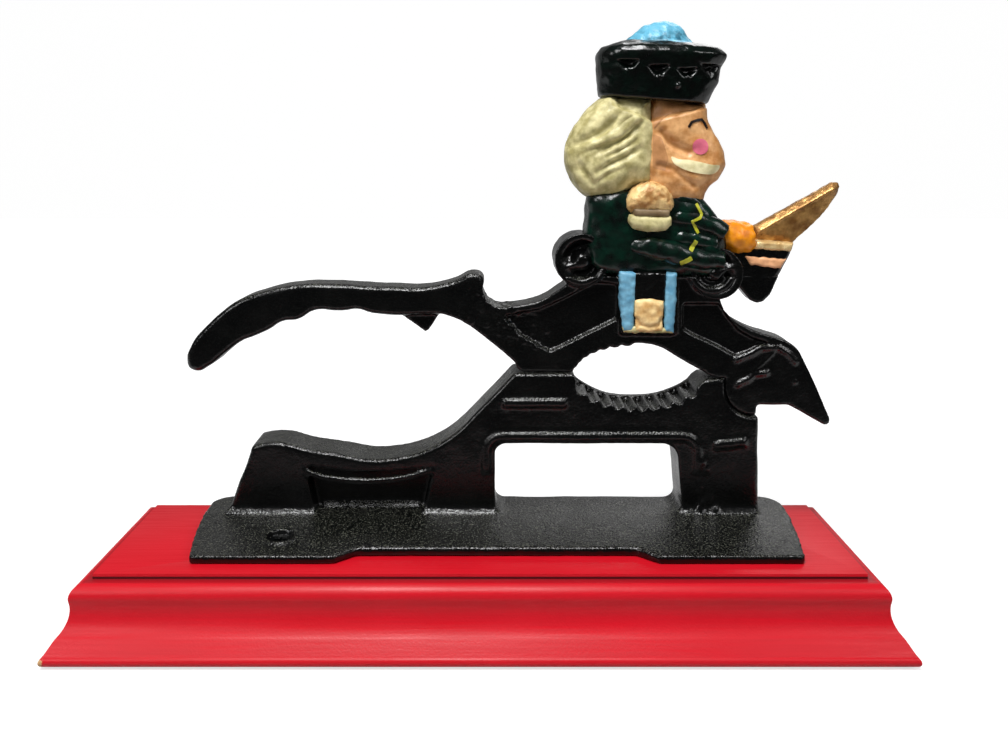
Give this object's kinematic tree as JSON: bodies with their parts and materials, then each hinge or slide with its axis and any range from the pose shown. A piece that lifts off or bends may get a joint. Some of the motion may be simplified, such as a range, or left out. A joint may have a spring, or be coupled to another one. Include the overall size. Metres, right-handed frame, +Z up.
{
  "type": "lever nutcracker press",
  "caption": "Cast-iron lever nutcracker with a painted toy soldier riding the lever, toothed jaws and a moulded red wooden plinth.",
  "frame": {"origin": "on the table, under the middle of the plinth", "axes": "+X along the plinth towards the hinge, +Y from the front to the back, +Z up"},
  "size_m": [0.292, 0.089, 0.2213],
  "materials": {
    "red_painted_wood": "satin red paint",
    "black_painted_iron": "thick gloss black paint over a rough casting",
    "black_painted_steel": "gloss black paint",
    "plated_steel": "zinc plated",
    "dark_felt": "pressed wool felt"
  },
  "bodies": {
    "base": {"wood_plinth": "red_painted_wood", "base_casting": "black_painted_iron", "plate_screw": "black_painted_steel", "under_screws": "plated_steel", "felt_pads": "dark_felt"},
    "lever": {"lever_casting": "black_painted_iron", "hinge_pin": "black_painted_steel"}
  },
  "joints": [
    {"name": "lever_hinge", "type": "hinge", "parent": "base", "child": "lever", "pos_m": [0.1051, 0.0208, 0.0805], "axis": [0, 1, 0], "range_deg": [0, 40]}
  ]
}
